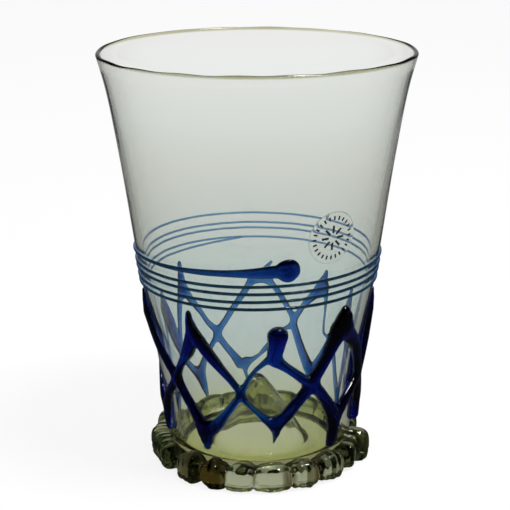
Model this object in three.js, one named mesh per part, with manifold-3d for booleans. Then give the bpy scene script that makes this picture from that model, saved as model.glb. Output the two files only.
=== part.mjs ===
// A hand-blown drinking glass: a flared bowl with a pushed-up base, a pinched foot ring, a spiral
// thread and two crossed zigzag trails laid on the outside of the wall, and a round film label.
// Millimetres, +Z up. The origin is the centre of the base, on the surface the glass stands on.
// Angles are in degrees round the glass: 0 faces -Y, and 90 faces +X.

import * as THREE from 'three';
import { mergeVertices } from 'three/addons/utils/BufferGeometryUtils.js';
import Module from 'manifold-3d';

// Bowl
const HEIGHT = 130;
const RIM_RADIUS = 48.6;
const HEEL_RADIUS = 29.2;
const HEEL_ROUND = 6;
const WALL = 1.6;
const LIP = 1.5;
const FLOOR = 3.0;
const FLOOR_LIFT = 2.0;
const INNER_HEEL_ROUND = 5.5;
const KICK_HEIGHT = 26.5;
const KICK_RADIUS = 15.2;
const KICK_WALL = 2.6;
const KICK_SWELL = 1.15;
// How the wall flares from the heel to the rim: share of the height, share of the flare
const FLARE_HEIGHTS = [0, 0.18, 0.43, 0.75, 0.92, 1];
const FLARE_SHARES = [0, 0.11, 0.385, 0.688, 0.872, 1];

// Foot ring. Its crown stands a little above the heel's rounding.
const RING_RISE = 0.6;
const RING_REACH = 5.6;
const RING_UNDERLAP = 4.7;
const RING_WAIST = 4.2;
const SIDE_NOTCH = 0.8;
const TOP_PIT = 2.4;
const LOBE_VARIATION = 0.3;
const LOBE_VARIATION_STEP = 2.4;
const FRONT_NOTCHES = [-51, -33.6, -18.4, -2.6, 17.2, 34, 54];
const BACK_CRIMPS = 15;

// Spiral thread, counted in turns from the middle of its starting drop to its end
const THREAD_DIAMETER = 0.9;
const THREAD_START_ANGLE = 12.5;
const THREAD_TURNS = 4.49;
const THREAD_END_HEIGHT = 58.85;
const THREAD_PITCH = 2.42;
const THREAD_WANDER = 0.31;
const LEAD_IN_TURNS = 0.16;
const START_DROP_DIAMETER = 7.4;
const START_DROP_DEPTH = 4.6;
const START_DROP_GAP = 1.1;
const NECK_DIAMETER = 3.0;
const NECK_TURNS = 0.09;
const NECK_TAPER = 1.5;

// Zigzag trails
const ARM_WIDTH = 2.4;
const ARM_DEPTH = 1.2;
const CRUTCH_WIDTH = 3.6;
const CRUTCH_DEPTH = 1.8;
const UPPER_DROP_LENGTH = 11;
const LOWER_DROP_LENGTH = 9;
// The stretch of a half sine wave that an upper drop's width and depth follow from tip to foot,
// and the power that rounds it
const DROP_TIP_PHASE = 0.08;
const DROP_FOOT_PHASE = 0.85;
const DROP_BLUNTNESS = 0.6;
const BLADE_TIP_SHARE = 0.45;
// Share of a leg over which it widens into a drop
const LEG_SPREAD = 0.3;
const HUMP_FLAT = 3.6;
const HUMP_RAMP = 4.4;
// One column of the lattice a line, round from the left of the front. Each has an upper tip, as
// an angle and how far it is below the end of the thread, with the width and depth of its drop.
// It has a lower tip, as an angle and how far it is above the foot ring, and the crossing that
// follows it, as an angle and a height.
const COLUMNS = [
  { upper: [-79, 1.9], width: 6.6, depth: 2.2, lower: [-70, 3.9], crossing: [-50.5, 33] },
  { upper: [-33, 1.4], width: 4.6, depth: 2.6, lower: [-31, 3.1], crossing: [-9.4, 31.5] },
  { upper: [9.2, 4.9], width: 6.4, depth: 3.4, lower: [9, 6.4], crossing: [29.4, 34] },
  { upper: [45.6, 1.4], width: 8.6, depth: 3.3, lower: [48.8, 1.9], crossing: [75.5, 29] },
  { upper: [86, 1.4], width: 5.6, depth: 2.0, lower: [87, 3.9], crossing: [100, 31] },
  { upper: [110, 8.9], width: 4.8, depth: 2.2, lower: [108, 3.4], crossing: [124.4, 32] },
  { upper: [137.8, 5.4], width: 4.2, depth: 2.0, lower: [140.4, 6.4], crossing: [156.8, 33.5] },
  { upper: [177.9, 6.4], width: 5.2, depth: 1.8, lower: [189, 4.4], crossing: [207.4, 30.4] },
  { upper: [230.4, 3.4], width: 4.6, depth: 2.0, lower: [221.5, 0.9], crossing: [242, 28] },
  { upper: [255, 8.9], width: 5.0, depth: 2.4, lower: [255, 3.4], crossing: [266, 31] },
];

// Label
const LABEL_DIAMETER = 16;
const LABEL_THICKNESS = 0.25;
const LABEL_ANGLE = 33;
const LABEL_HEIGHT = 80.5;

// The gap left between two pieces of glass that are laid on each other
const CLEARANCE = 0.3;

// Mesh counts
const ROUND_SEGMENTS = 48;
const WALL_STEPS = 11;
const ARC_STEPS = 4;
const SEAT_STEPS = 3;
const KICK_STEPS = 6;
const LOBE_STATIONS = [0, 0.12, 0.37, 0.63, 0.88];
const OUTER_RING_DEGREES = [66, 42, 18, -6, -33, -60];
const DROP_STATIONS = [-0.5, -0.45, -0.3, 0, 0.3];
const DROP_CLOSED_AT = 0.52;
const THREAD_SIDES = 6;
const TRAIL_SIDES = 6;
const LEG_STEPS = 8;
const DROP_STEPS = 5;
const LABEL_SEGMENTS = 24;
const LABEL_RINGS = 3;

const wasm = await Module();
wasm.setup();

const radians = THREE.MathUtils.degToRad;

// Heights and radii that follow from the sizes above
const heelTop = FLOOR_LIFT + HEEL_ROUND;
const heelCentre = new THREE.Vector2(HEEL_RADIUS - HEEL_ROUND, heelTop);
const floorTop = FLOOR_LIFT + FLOOR;
const ringHeight = heelTop + RING_RISE;
const threadLeadIn = (START_DROP_DIAMETER + THREAD_DIAMETER) / 2 + START_DROP_GAP - THREAD_PITCH;
const flare = new THREE.CubicInterpolant(FLARE_HEIGHTS, FLARE_SHARES, 1);

// Outer radius of the wall at a height
function wallRadius(z) {
  const share = THREE.MathUtils.clamp((z - heelTop) / (HEIGHT - heelTop), 0, 1);
  return HEEL_RADIUS + (RIM_RADIUS - HEEL_RADIUS) * flare.evaluate(share)[0];
}

// A point that stands off the outside of the wall, square to it. The angle is in radians.
function wallPoint(angle, z, standOff) {
  const step = 0.5;
  const slope = (wallRadius(z + step) - wallRadius(z - step)) / (2 * step);
  const square = new THREE.Vector2(1, -slope).normalize();
  const radius = wallRadius(z) + standOff * square.x;
  return [radius * Math.sin(angle), -radius * Math.cos(angle), z + standOff * square.y];
}

// Points on an arc, from one angle to the other in degrees, ends included
function arc(centre, radius, from, to, steps) {
  return Array.from({ length: steps + 1 }, (_, i) => {
    const angle = radians(from + (to - from) * i / steps);
    return new THREE.Vector2(centre.x + radius * Math.cos(angle), centre.y + radius * Math.sin(angle));
  });
}

function meshGeometry(positions, indices) {
  const geometry = new THREE.BufferGeometry();
  geometry.setAttribute('position', new THREE.Float32BufferAttribute(positions, 3));
  geometry.setIndex(indices);
  return geometry;
}

// One side of the kick, from its foot at the base to its apex on the axis
function kickCurve(radius, foot, apex) {
  return Array.from({ length: KICK_STEPS + 1 }, (_, i) => {
    const share = 1 - i / KICK_STEPS;
    return new THREE.Vector2(radius * share, foot + (apex - foot) * (1 - share ** KICK_SWELL));
  });
}

function bowlGeometry() {
  const lipRound = LIP / 2;
  const lipCentre = new THREE.Vector2(RIM_RADIUS - lipRound, HEIGHT - lipRound);
  const innerHeelRadius = HEEL_RADIUS - WALL;
  const innerHeelCentre = new THREE.Vector2(innerHeelRadius - INNER_HEEL_ROUND, floorTop + INNER_HEEL_ROUND);
  const heights = Array.from({ length: WALL_STEPS - 1 }, (_, i) => (
    heelTop + (lipCentre.y - heelTop) * (i + 1) / WALL_STEPS
  ));
  const outside = heights.map((z) => new THREE.Vector2(wallRadius(z), z));
  const inside = heights.filter((z) => z > innerHeelCentre.y)
    .map((z) => new THREE.Vector2(wallRadius(z) - WALL, z));
  const profile = [
    ...kickCurve(KICK_RADIUS - KICK_WALL, FLOOR_LIFT, KICK_HEIGHT - KICK_WALL).reverse(),
    ...arc(heelCentre, HEEL_ROUND, -90, 0, ARC_STEPS),
    ...outside,
    ...arc(lipCentre, lipRound, 0, 180, ARC_STEPS),
    ...inside.reverse(),
    ...arc(innerHeelCentre, INNER_HEEL_ROUND, 0, -90, ARC_STEPS),
    ...kickCurve(KICK_RADIUS, floorTop, KICK_HEIGHT),
  ];
  return new THREE.LatheGeometry(profile, ROUND_SEGMENTS).rotateX(Math.PI / 2);
}

// The pinches that part the foot ring's lobes: measured ones in front, even ones behind
function notchAngles() {
  const first = FRONT_NOTCHES[0] + 360;
  const last = FRONT_NOTCHES[FRONT_NOTCHES.length - 1];
  const back = Array.from({ length: BACK_CRIMPS }, (_, i) => last + (first - last) * (i + 1) / BACK_CRIMPS);
  return [...FRONT_NOTCHES, ...back];
}

// The foot ring's section, up its inner side and down its outer side. The swell is 0 in a pinch
// and about 1 in the middle of a lobe.
function ringSection(swell) {
  const innerRadius = HEEL_RADIUS - RING_UNDERLAP;
  const seatRound = HEEL_ROUND + CLEARANCE;
  const seatStart = -THREE.MathUtils.radToDeg(Math.acos((innerRadius - heelCentre.x) / seatRound));
  const crownCentre = new THREE.Vector2(HEEL_RADIUS + CLEARANCE, RING_WAIST);
  const bottomDegrees = OUTER_RING_DEGREES[OUTER_RING_DEGREES.length - 1];
  const outer = OUTER_RING_DEGREES.map((degrees) => {
    const angle = radians(degrees);
    const dent = (1 - swell) * (SIDE_NOTCH + (TOP_PIT - SIDE_NOTCH) * Math.max(0, Math.sin(angle)) ** 2);
    const tall = degrees > 0 ? ringHeight - RING_WAIST : RING_WAIST;
    const radius = crownCentre.x + (RING_REACH - CLEARANCE - dent) * Math.cos(angle);
    const height = crownCentre.y + (tall - Math.max(0, dent * Math.sin(angle))) * Math.sin(angle);
    return new THREE.Vector2(radius, degrees === bottomDegrees ? 0 : height);
  });
  return [
    new THREE.Vector2(innerRadius, 0),
    ...arc(heelCentre, seatRound, seatStart, 0, SEAT_STEPS),
    new THREE.Vector2(wallRadius(ringHeight) + CLEARANCE, heelTop + RING_RISE / 2),
    ...outer,
  ];
}

function footRingGeometry() {
  const notches = notchAngles();
  const sections = [];
  for (let lobe = 0; lobe < notches.length - 1; lobe += 1) {
    const size = LOBE_VARIATION * Math.cos(LOBE_VARIATION_STEP * lobe);
    for (const share of LOBE_STATIONS) {
      const angle = radians(THREE.MathUtils.lerp(notches[lobe], notches[lobe + 1], share));
      const swell = Math.sqrt(Math.sin(Math.PI * share)) * (1 + size / RING_REACH);
      sections.push({ angle, points: ringSection(swell) });
    }
  }
  const sides = sections[0].points.length;
  const positions = sections.flatMap(({ angle, points }) => (
    points.flatMap((point) => [point.x * Math.sin(angle), -point.x * Math.cos(angle), point.y])
  ));
  const indices = sections.flatMap((_, i) => {
    const here = i * sides;
    const next = ((i + 1) % sections.length) * sides;
    return sections[0].points.flatMap((__, k) => {
      const after = (k + 1) % sides;
      return [here + k, here + after, next + after, here + k, next + after, next + k];
    });
  });
  return meshGeometry(positions, indices);
}

// A rounded strip of glass laid along the wall. Each station has an angle in radians, a height,
// a width, a depth and the gap under it; the strip is flat underneath and closed at both ends.
function strandGeometry(stations, sides) {
  const ring = Array.from({ length: sides }, (_, k) => {
    const angle = -Math.PI / 2 + (2 * k + 1) * Math.PI / sides;
    return [Math.cos(angle), Math.sin(angle)];
  });
  const widest = Math.max(...ring.map(([across]) => across));
  const deepest = Math.max(...ring.map(([, up]) => up));
  const positions = stations.flatMap((station, i) => {
    const before = stations[Math.max(i - 1, 0)];
    const after = stations[Math.min(i + 1, stations.length - 1)];
    const radius = wallRadius(station.z);
    const along = new THREE.Vector2((after.angle - before.angle) * radius, after.z - before.z).normalize();
    return ring.flatMap(([cosine, sine]) => {
      const across = station.width / 2 * cosine / widest;
      const standOff = station.gap + station.depth / 2 * (1 + sine / deepest);
      return wallPoint(station.angle - across * along.y / radius, station.z + across * along.x, standOff);
    });
  });
  const indices = [];
  for (let i = 0; i < stations.length - 1; i += 1) {
    for (let k = 0; k < sides; k += 1) {
      const here = i * sides;
      const next = here + sides;
      const after = (k + 1) % sides;
      indices.push(here + k, here + after, next + after, here + k, next + after, next + k);
    }
  }
  const end = (stations.length - 1) * sides;
  for (let k = 1; k < sides - 1; k += 1) {
    indices.push(0, k + 1, k, end, end + k, end + k + 1);
  }
  return meshGeometry(positions, indices);
}

// Height of the thread's middle, after a number of turns from its starting drop
function threadHeight(turns) {
  const steady = THREAD_END_HEIGHT + THREAD_PITCH * (THREAD_TURNS - turns);
  const wander = THREAD_WANDER * Math.sin(Math.PI * turns);
  return steady + wander + threadLeadIn * Math.exp(-turns / LEAD_IN_TURNS);
}

// The drop that starts the thread, its thick neck and the thin thread, as one run of stations
function threadStations() {
  const dropTurns = START_DROP_DIAMETER / (2 * Math.PI * wallRadius(threadHeight(0)));
  const drop = DROP_STATIONS.map((share) => {
    const size = Math.sqrt(1 - (share / DROP_CLOSED_AT) ** 2);
    return { turns: share * dropTurns, width: START_DROP_DIAMETER * size, depth: START_DROP_DEPTH * size };
  });
  const stepTurns = 1 / ROUND_SEGMENTS;
  const offset = THREAD_START_ANGLE / 360;
  const firstStep = Math.ceil((0.5 * dropTurns - offset) / stepTurns);
  const lastStep = Math.floor((THREAD_TURNS - offset) / stepTurns);
  const thin = Array.from({ length: lastStep - firstStep + 1 }, (_, i) => {
    const turns = (firstStep + i) * stepTurns + offset;
    const neck = (NECK_DIAMETER - THREAD_DIAMETER) * Math.exp(-((turns / NECK_TURNS) ** NECK_TAPER));
    const size = THREAD_DIAMETER + neck;
    return { turns, width: size, depth: size };
  });
  return [...drop, ...thin].map(({ turns, width, depth }) => ({
    angle: radians(THREAD_START_ANGLE) - 2 * Math.PI * turns,
    z: threadHeight(turns),
    width,
    depth,
    gap: CLEARANCE,
  }));
}

// The least gap between one turn of the thread and another, measured on its stations
function leastGapToItself(stations) {
  const points = stations.map(({ angle, z, depth, gap }) => (
    new THREE.Vector3(...wallPoint(angle, z, gap + depth / 2))
  ));
  let least = Infinity;
  for (let i = 0; i < points.length; i += 1) {
    for (let j = i + 1; j < points.length; j += 1) {
      if (Math.abs(stations[i].angle - stations[j].angle) > Math.PI) {
        const reach = (stations[i].width + stations[j].width) / 2;
        least = Math.min(least, points[i].distanceTo(points[j]) - reach);
      }
    }
  }
  return least;
}

function toSolid(geometry) {
  const merged = mergeVertices(geometry);
  return new wasm.Manifold(new wasm.Mesh({
    numProp: 3,
    vertProperties: new Float32Array(merged.attributes.position.array),
    triVerts: new Uint32Array(merged.index.array),
  }));
}

function toGeometry(solid) {
  const { vertProperties, triVerts, numProp } = solid.getMesh();
  const positions = [];
  for (let i = 0; i < vertProperties.length; i += numProp) {
    positions.push(vertProperties[i], vertProperties[i + 1], vertProperties[i + 2]);
  }
  return meshGeometry(positions, [...triVerts]);
}

// The drop pulled out at an upper tip of the lattice
function upperDrop({ upper: [degrees, tip], width, depth }) {
  const stations = Array.from({ length: DROP_STEPS + 1 }, (_, i) => {
    const share = i / DROP_STEPS;
    const phase = THREE.MathUtils.lerp(DROP_TIP_PHASE, DROP_FOOT_PHASE, share);
    const size = Math.sin(phase * Math.PI) ** DROP_BLUNTNESS;
    return {
      angle: radians(degrees),
      z: tip - UPPER_DROP_LENGTH * share,
      width: width * size,
      depth: depth * size,
      gap: CLEARANCE,
    };
  });
  return strandGeometry(stations, TRAIL_SIDES);
}

// The blade that a lower tip of the lattice ends in
function lowerDrop({ lower: [degrees, tip] }) {
  const stations = Array.from({ length: DROP_STEPS + 1 }, (_, i) => {
    const share = i / DROP_STEPS;
    const size = THREE.MathUtils.lerp(BLADE_TIP_SHARE, 1, Math.sin(Math.PI / 2 * share));
    return {
      angle: radians(degrees),
      z: tip + LOWER_DROP_LENGTH * share,
      width: CRUTCH_WIDTH * size,
      depth: CRUTCH_DEPTH * size,
      gap: CLEARANCE,
    };
  });
  return strandGeometry(stations, TRAIL_SIDES);
}

// One leg of a trail, from the upper drop of one column through the crossing to the lower drop
// of its neighbour. A leg that lies on top rises over the leg under it.
function leg(from, crossing, to, liesOnTop) {
  const spread = HEEL_RADIUS;
  const flat = ([degrees, z]) => new THREE.Vector3(radians(degrees) * spread, z, 0);
  const start = flat([from.upper[0], from.upper[1] - UPPER_DROP_LENGTH / 2]);
  const middle = flat(crossing);
  const end = flat([to.lower[0], to.lower[1] + LOWER_DROP_LENGTH / 2]);
  const curve = new THREE.CatmullRomCurve3([start, middle, end]);
  const stations = curve.getSpacedPoints(LEG_STEPS).map((point, i) => {
    const share = i / LEG_STEPS;
    const nearUpper = Math.max(0, 1 - share / LEG_SPREAD);
    const nearLower = Math.max(0, 1 - (1 - share) / LEG_SPREAD);
    const away = Math.max(0, point.distanceTo(middle) - HUMP_FLAT);
    const hump = liesOnTop ? Math.max(0, 1 - away / HUMP_RAMP) : 0;
    return {
      angle: point.x / spread,
      z: point.y,
      width: ARM_WIDTH + (from.width - ARM_WIDTH) / 2 * nearUpper + (CRUTCH_WIDTH - ARM_WIDTH) * nearLower,
      depth: ARM_DEPTH + (from.depth - ARM_DEPTH) / 2 * nearUpper + (CRUTCH_DEPTH - ARM_DEPTH) * nearLower,
      gap: CLEARANCE + (ARM_DEPTH + CLEARANCE) * hump,
    };
  });
  return strandGeometry(stations, TRAIL_SIDES);
}

// A column with its tips as angles and heights. The one after the last is the first, a turn on.
function columnAt(index) {
  const column = COLUMNS[index % COLUMNS.length];
  const turn = 360 * Math.floor(index / COLUMNS.length);
  const upper = [column.upper[0] + turn, THREAD_END_HEIGHT - column.upper[1]];
  const lower = [column.lower[0] + turn, ringHeight + column.lower[1]];
  return { ...column, upper, lower };
}

// One zigzag round the glass. It has its upper drops at every second column, starting at the
// given one, and its lower drops at the columns between.
function trailGeometry(firstUpper, liesOnTop) {
  const pieces = COLUMNS.flatMap((column, i) => {
    const isUpper = i % 2 === firstUpper;
    const [from, to] = isUpper ? [columnAt(i), columnAt(i + 1)] : [columnAt(i + 1), columnAt(i)];
    const drop = isUpper ? upperDrop(from) : lowerDrop(columnAt(i));
    return [drop, leg(from, column.crossing, to, liesOnTop)];
  });
  return toGeometry(pieces.map(toSolid).reduce((joined, piece) => joined.add(piece)));
}

// The round film, curved to the wall
function labelGeometry() {
  const middle = radians(LABEL_ANGLE);
  const radius = wallRadius(LABEL_HEIGHT);
  const positions = [];
  for (const standOff of [CLEARANCE, CLEARANCE + LABEL_THICKNESS]) {
    positions.push(...wallPoint(middle, LABEL_HEIGHT, standOff));
    for (let ring = 1; ring <= LABEL_RINGS; ring += 1) {
      const reach = LABEL_DIAMETER / 2 * ring / LABEL_RINGS;
      for (let k = 0; k < LABEL_SEGMENTS; k += 1) {
        const angle = 2 * Math.PI * k / LABEL_SEGMENTS;
        const across = reach * Math.cos(angle) / radius;
        positions.push(...wallPoint(middle + across, LABEL_HEIGHT + reach * Math.sin(angle), standOff));
      }
    }
  }
  const layer = 1 + LABEL_RINGS * LABEL_SEGMENTS;
  const outerRing = 1 + (LABEL_RINGS - 1) * LABEL_SEGMENTS;
  const indices = [];
  for (let k = 0; k < LABEL_SEGMENTS; k += 1) {
    const after = (k + 1) % LABEL_SEGMENTS;
    indices.push(0, 1 + after, 1 + k, layer, layer + 1 + k, layer + 1 + after);
    for (let ring = 0; ring < LABEL_RINGS - 1; ring += 1) {
      const near = 1 + ring * LABEL_SEGMENTS;
      const far = near + LABEL_SEGMENTS;
      indices.push(near + k, near + after, far + after, near + k, far + after, far + k);
      indices.push(layer + near + k, layer + far + after, layer + near + after);
      indices.push(layer + near + k, layer + far + k, layer + far + after);
    }
    const edge = outerRing + k;
    const nextEdge = outerRing + after;
    indices.push(edge, nextEdge, layer + nextEdge, edge, layer + nextEdge, layer + edge);
  }
  return meshGeometry(positions, indices);
}

function glass(colour, opacity) {
  return new THREE.MeshStandardMaterial({
    color: colour, roughness: 0.05, metalness: 0, transparent: true, opacity,
  });
}

function piece(name, geometry, material) {
  const mesh = new THREE.Mesh(geometry, material);
  mesh.name = name;
  return mesh;
}

const thread = threadStations();
console.log(`least gap between the thread's turns: ${leastGapToItself(thread).toFixed(2)} mm`);

const drinkingGlass = new THREE.Group();
drinkingGlass.add(
  piece('bowl', bowlGeometry(), glass(0xdde6e0, 0.35)),
  piece('foot_ring', footRingGeometry(), glass(0x8f9a60, 0.6)),
  piece('spiral_thread', strandGeometry(thread, THREAD_SIDES), glass(0x12306e, 0.9)),
  piece('zigzag_trail_under', trailGeometry(0, false), glass(0x0c2a7a, 0.9)),
  piece('zigzag_trail_over', trailGeometry(1, true), glass(0x0c2a7a, 0.9)),
  piece('label_film', labelGeometry(), glass(0xf2f5f2, 0.4)),
);

export default drinkingGlass;
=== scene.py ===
"""The looks of a hand-blown drinking glass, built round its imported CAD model.

Sizes are in millimetres and become metres where a mesh is made. Angles round the glass are in
degrees: 0 faces -Y, and 90 faces +X. The origin is the centre of the base.
"""

import math

import bpy
import numpy as np
from mathutils import Matrix, Vector


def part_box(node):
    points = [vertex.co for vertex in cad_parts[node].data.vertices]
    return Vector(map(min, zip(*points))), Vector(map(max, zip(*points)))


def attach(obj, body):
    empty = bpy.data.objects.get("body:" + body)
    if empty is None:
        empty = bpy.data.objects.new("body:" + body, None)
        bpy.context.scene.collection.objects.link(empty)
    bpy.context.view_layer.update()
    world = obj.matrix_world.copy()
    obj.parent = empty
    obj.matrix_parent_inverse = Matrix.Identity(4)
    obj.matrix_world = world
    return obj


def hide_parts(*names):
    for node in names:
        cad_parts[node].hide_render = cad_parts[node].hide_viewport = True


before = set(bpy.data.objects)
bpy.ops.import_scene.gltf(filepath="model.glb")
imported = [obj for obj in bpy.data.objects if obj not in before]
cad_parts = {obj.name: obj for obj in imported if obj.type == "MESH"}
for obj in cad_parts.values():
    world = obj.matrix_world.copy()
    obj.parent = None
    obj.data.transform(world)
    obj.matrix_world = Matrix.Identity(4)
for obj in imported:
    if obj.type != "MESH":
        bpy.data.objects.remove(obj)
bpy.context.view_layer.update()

MM = 0.001
WHITE = (1, 1, 1, 1)

# Camera
CAMERA_DISTANCE = 449
CAMERA_HEIGHT = 199
CAMERA_PITCH = 16.55
CAMERA_ROLL = -0.32
FOCAL_LENGTH = 105.9
SENSOR_WIDTH = 36
CAMERA_SHIFT = -0.0057

# The wall's slope is taken over this much of its height
SLOPE_SPAN = 1.0

# Bowl. WAVES are how many waves a ripple has, and the limits of how many crests each of them has.
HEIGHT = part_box("bowl")[1].z / MM
RIM_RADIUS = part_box("bowl")[1].x / MM
HEEL_RADIUS = 29.2
HEEL_ROUND = 6
LIP = 1.45
FLOOR = 1.8
FLOOR_TOP = 5.0
INNER_HEEL_ROUND = 5.5
KICK_HEIGHT = 26.5
KICK_RADIUS = 15.2
KICK_SWELL = 1.12
KICK_TIP_ROUND = 1.6
# The kick's ripple fades out over the span next to the axis, and at the kick's foot
KICK_RIPPLE = 0.32
KICK_RIPPLE_SPAN = 3
KICK_RIPPLE_GROWTH = 4
KICK_WAVES = (7, 2, 9)
CREASE_ROUND = 0.45
HEEL_TOP = 8
# How the wall flares from the heel to the rim: share of the height, share of the flare
FLARE_HEIGHTS = [0, 0.18, 0.43, 0.75, 0.92, 1]
FLARE_SHARES = [0, 0.11, 0.385, 0.678, 0.866, 1]
# The wall's thickness at heights from the heel to just under the lip
WALL_HEIGHTS = [8, 40, 90, 128]
WALL_THICKNESSES = [2.6, 2.5, 1.85, 1.15]
LIP_SWELL_HEIGHT = 0.9
# The wall is a little out of round towards the rim, and the rim a little out of level
OUT_OF_ROUND = 0.25
OUT_OF_ROUND_ANGLE = 35
OUT_OF_LEVEL = 0.15
OUT_OF_LEVEL_ANGLE = 40
OUT_OF_LEVEL_POWER = 4
RIM_WOBBLE = 2.0
RIM_WAVES = (8, 4, 22)
RIPPLE_PITCH = 1.4

# Foot ring
RING_CENTRE_RADIUS = 30.3
RING_CENTRE_HEIGHT = 4.2
RING_RISE = 0.6
RING_REACH = 3.9
RING_INNER_REACH = 3.2
RING_UNDERLAP = 1.6
# The ring's hidden side has a rounded toe, whose middle point is this share of the rounding off the
# corner, and a seat that sinks into the heel
RING_TOE_ROUND = 1.2
RING_TOE_CORNER = 0.3
RING_SINK = 0.25
RING_SQUARENESS = 3.1
RING_TOP_DEGREES = 125
RING_BOTTOM_DEGREES = -84
SEAT_TOP_DEGREES = -32
# Where the ring stands further out or in: an angle, how far round it reaches, and by how much
RING_SWAYS = [
    (77, 7, 1.6), (96, 9, -3.2), (56, 5, -2.0), (66, 4, -1.6), (45, 5, 0.4), (35, 5, -0.8),
    (-55, 4, -4.6), (-40, 6, 1.0), (-33, 4, -1.4), (-125, 6, -1.2), (124, 5, -1.0),
]
# Brown painted shade on the ring at angles all round: most on lobes towards the sides, some in front and none
# at the back
BROWN_SHADE_ANGLES = [
    -180, -115, -95, -60, -35, -21, -16, 12.5, 14.5, 19, 21, 29, 31, 36, 38, 46, 50, 100, 125, 180,
]
BROWN_SHADE_SHARES = [
    0, 0.3, 0.6, 0.8, 1, 1, 0.35, 0.35, 0.9, 0.9, 0.4, 0.4, 0.95, 0.95, 0.4, 0.4, 0.8, 0.7, 0.2, 0,
]
# On the right the brown painted shade also runs along under the lobes
LOW_BROWN_SHADE_ANGLES = [11, 15, 60, 75]
LOW_BROWN_SHADE_SHARES = [0, 0.9, 0.9, 0]
LOW_BROWN_SHADE_DEGREES = [-40, -22]
# How much brown painted shade runs along the lower edge of a lobe's pad
PAD_EDGE_BROWN_SHADE = 0.85
# Brown painted shade in the pits between the lobes, wider towards the top of the ring
PIT_SHADE_DEGREES = [-30, 20, 80]
PIT_SHADE_WIDTHS = [0.25, 1.0, 2.4]
LOBE_BULGE = 0.45
# The lower edge of the pad that the tool pressed into a lobe: where it is in the middle of the
# lobe, how far it climbs to the sides, and its depth and width
PAD_EDGE_DEGREES = -14
PAD_EDGE_CLIMB = 9
PAD_EDGE_DEPTH = 0.3
PAD_EDGE_WIDTH = 5
LOBE_VARIATION = 0.3
# How much of a lobe's shape its top has, which is smoother at the back
TOP_ANGLES = [100, 140]
TOP_SHARES = [0.8, 0.3]
FRONT_NOTCHES = [-51, -33.6, -18.4, -2.6, 17.2, 34, 54]
BACK_CRIMPS = 15
CRIMP_JITTER = 2.0
NOTCH_SLANT = 1.6
NOTCH_STRENGTHS = (0.75, 1.15)
# A notch from the bottom of the ring, past its side, to the pit beside the wall
NOTCH_DEGREES = [-90, -30, 10, 60, 100]
NOTCH_DEPTHS = [0.5, 0.8, 1.2, 1.7, 1.5]
NOTCH_WIDTHS = [0.6, 0.55, 0.9, 2.0, 2.4]
NOTCH_SHARPNESS = 1.3
# Broad swells all round, and folds that run over the lobes and are fainter in front and behind
SWELL_DEPTH = 0.8
SWELL_SPAN = 40
SWELL_WAVES = (6, 5, 22)
FOLD_DEPTH = 0.4
FOLD_SPAN = 60
FOLD_WAVES = (8, 30, 100)
FOLD_ANGLES = [14, 28, 115, 145]
FOLD_SHARES = [0.3, 1.0, 1.0, 0.35]

# Spiral thread, counted in turns from the middle of its starting drop to its end
THREAD_START_ANGLE = 12.5
THREAD_TURNS = 4.515
THREAD_END_HEIGHT = 58.8
THREAD_PITCH = 2.42
THREAD_WANDER = 0.31
THREAD_LEAD_IN = 2.83
LEAD_IN_TURNS = 0.16
END_LIFT = 1.75
END_LIFT_TURNS = 0.13
DROP_RADIUS = 3.6
DROP_FLATNESS = 0.46
# The flatness sets in between these shares of the drop's radius
DROP_FLAT_FROM = 0.125
DROP_FLAT_TO = 0.75
DROP_BLEND = 0.5
# The thread's width at distances from the middle of its drop
THREAD_DISTANCES = [0, 5, 9, 16, 24, 36, 50, 70]
THREAD_WIDTHS = [3.6, 3.3, 2.7, 1.9, 1.6, 1.15, 0.9, 0.8]
THREAD_FRONT_SWELL = 0.17
THREAD_SINK = 0.15
# The length of the thread's tapered end, and the least that half its width can be
THREAD_END_TAPER = 1.2
THREAD_LEAST = 0.02
# The widths at which the thread's painted shade is least, where it is palest, and most, where it is darkest
THREAD_PALE_WIDTH = 2.7
THREAD_DARK_WIDTH = 1.15

# Lattice: how much of a strand's width it stands off the wall, and how far it sinks into it
STAND_OFF_SHARE = 0.38
LATTICE_BOTTOM = 8.5
LATTICE_TOP = 59.5
LATTICE_SINK = 0.08
LATTICE_EDGE_SINK = 0.03
WEB = 1.3
# Where strands meet, each counts by how near it is: the distance over which that falls by a factor
# of e, and its limits as powers of e
BLEND_DISTANCE = 0.5
BLEND_LIMITS = (-30, 12)
FAR_OFF = 9.0
TINY = 1e-9
# Points of the grid move onto the edge from up to this share of a cell away
EDGE_REACH = 0.5
LEAST_STEEPNESS = 0.3
# A trail's section is a half ellipse where the power is 0.5. It is flatter at the back.
PROFILE_ANGLES = [95, 125]
PROFILE_POWERS = [0.5, 1.2]
PROFILE_HEIGHTS = [1.0, 0.62]

# Label
LABEL_DIAMETER = 16
LABEL_THICKNESS = 0.05
LABEL_ANGLE = 33
LABEL_HEIGHT = 80.5
LABEL_SINK = 0.01
LABEL_EDGE_POWER = 60
# The label's rings of points, as shares of its radius: the smallest, and those next to the edge
LABEL_INNER_SHARE = 0.02
LABEL_EDGE_SHARES = [0.97, 0.99, 1]
MARK_THICKNESS = 0.03
MARK_BASE_SHARE = 0.9
INK_TONES = ((0.01, 0.011, 0.012), (0.03, 0.031, 0.033))
INK_GRAIN = 2500.0
# Rings of ticks on the label: how many, how long, how wide, and how far out
TICK_RINGS = [(24, 1.2, 0.55, 6.1), (8, 2.3, 0.7, 2.6)]

# Mesh counts
ROUND_SEGMENTS = 256
WALL_STEPS = 64
BASE_STEPS = 36
ARC_STEPS = 12
LIP_STEPS = 16
LOBE_STEPS = 34
SECTION_STEPS = 30
THREAD_STEPS_A_TURN = 180
THREAD_SIDES = 14
DROP_STEPS = 14
NECK_STEPS = 90
TRAIL_COLUMNS = 720
TRAIL_ROW_STEP = 0.29
LABEL_RINGS = 10
LABEL_SEGMENTS = 64
MARK_COLUMNS = 6

RANDOM = np.random.default_rng(11)


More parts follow.
